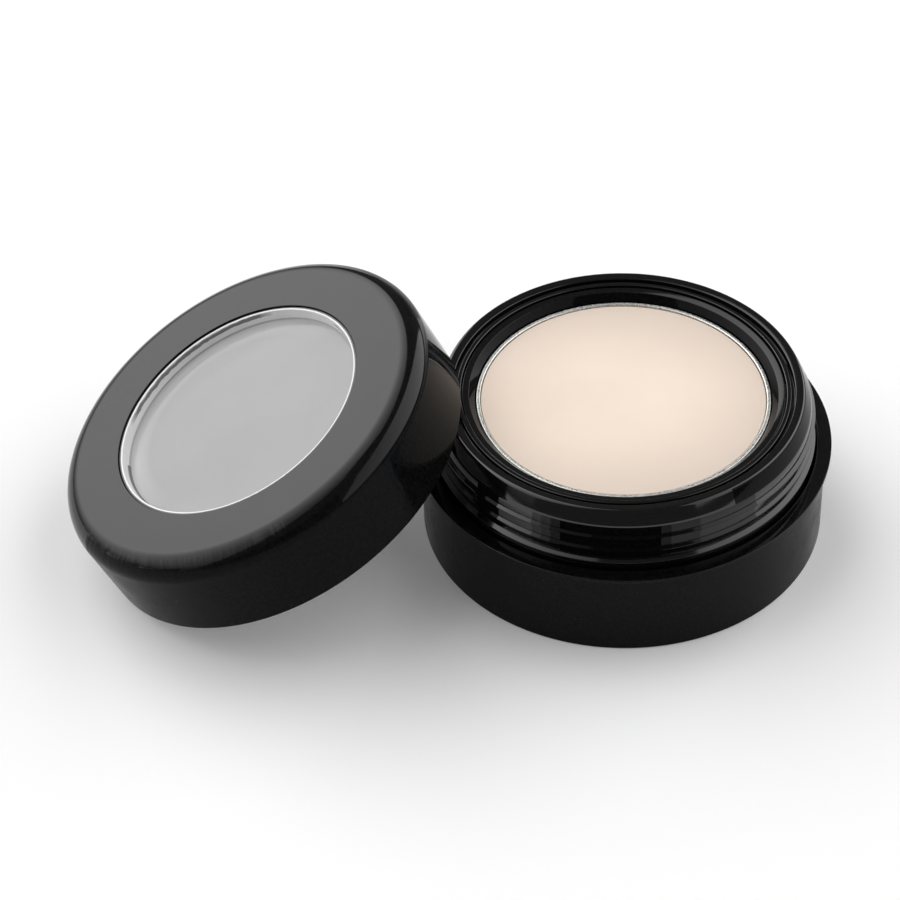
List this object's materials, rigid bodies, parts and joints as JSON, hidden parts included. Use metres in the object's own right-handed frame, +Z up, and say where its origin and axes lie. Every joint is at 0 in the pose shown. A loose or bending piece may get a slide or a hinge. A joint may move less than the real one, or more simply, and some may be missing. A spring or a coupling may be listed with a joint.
{
  "type": "cosmetic cream pot",
  "caption": "Round black cream pot with a beaded neck and a filled metal pan, and a windowed push-on lid that is off and leans on the neck.",
  "frame": {"origin": "centre of the pot's flat foot, on the pot's axis", "axes": "+Z up along the pot's axis; the lid leans on the -X side with its own axis parallel to the XZ plane"},
  "size_m": [0.0681, 0.0375, 0.022],
  "materials": {
    "black_gloss": "moulded black, polished",
    "pan_metal": "pressed sheet, satin",
    "glue": "set hot-melt glue",
    "cream": "smooth poured cream",
    "clear_plastic": "clear, polished",
    "seal_foam": "closed-cell foam"
  },
  "bodies": {
    "pot": {"base_shell": "black_gloss", "neck_ring": "black_gloss", "pan_cup": "black_gloss", "pan": "pan_metal", "pan_glue": "glue", "cream": "cream"},
    "liner": {"seal_ring": "seal_foam"},
    "lid": {"lid_shell": "black_gloss", "window": "clear_plastic"}
  },
  "joints": [
    {"name": "lid_lift", "type": "slide", "parent": "pot", "child": "liner", "axis": [0, 0, 1], "range_m": [0, 0.04]},
    {"name": "lid_turn", "type": "hinge", "parent": "liner", "child": "lid", "pos_m": [-0.03055, 0.0011, 0.00754], "axis": [-0.4239, 0, 0.9057], "continuous": true}
  ]
}
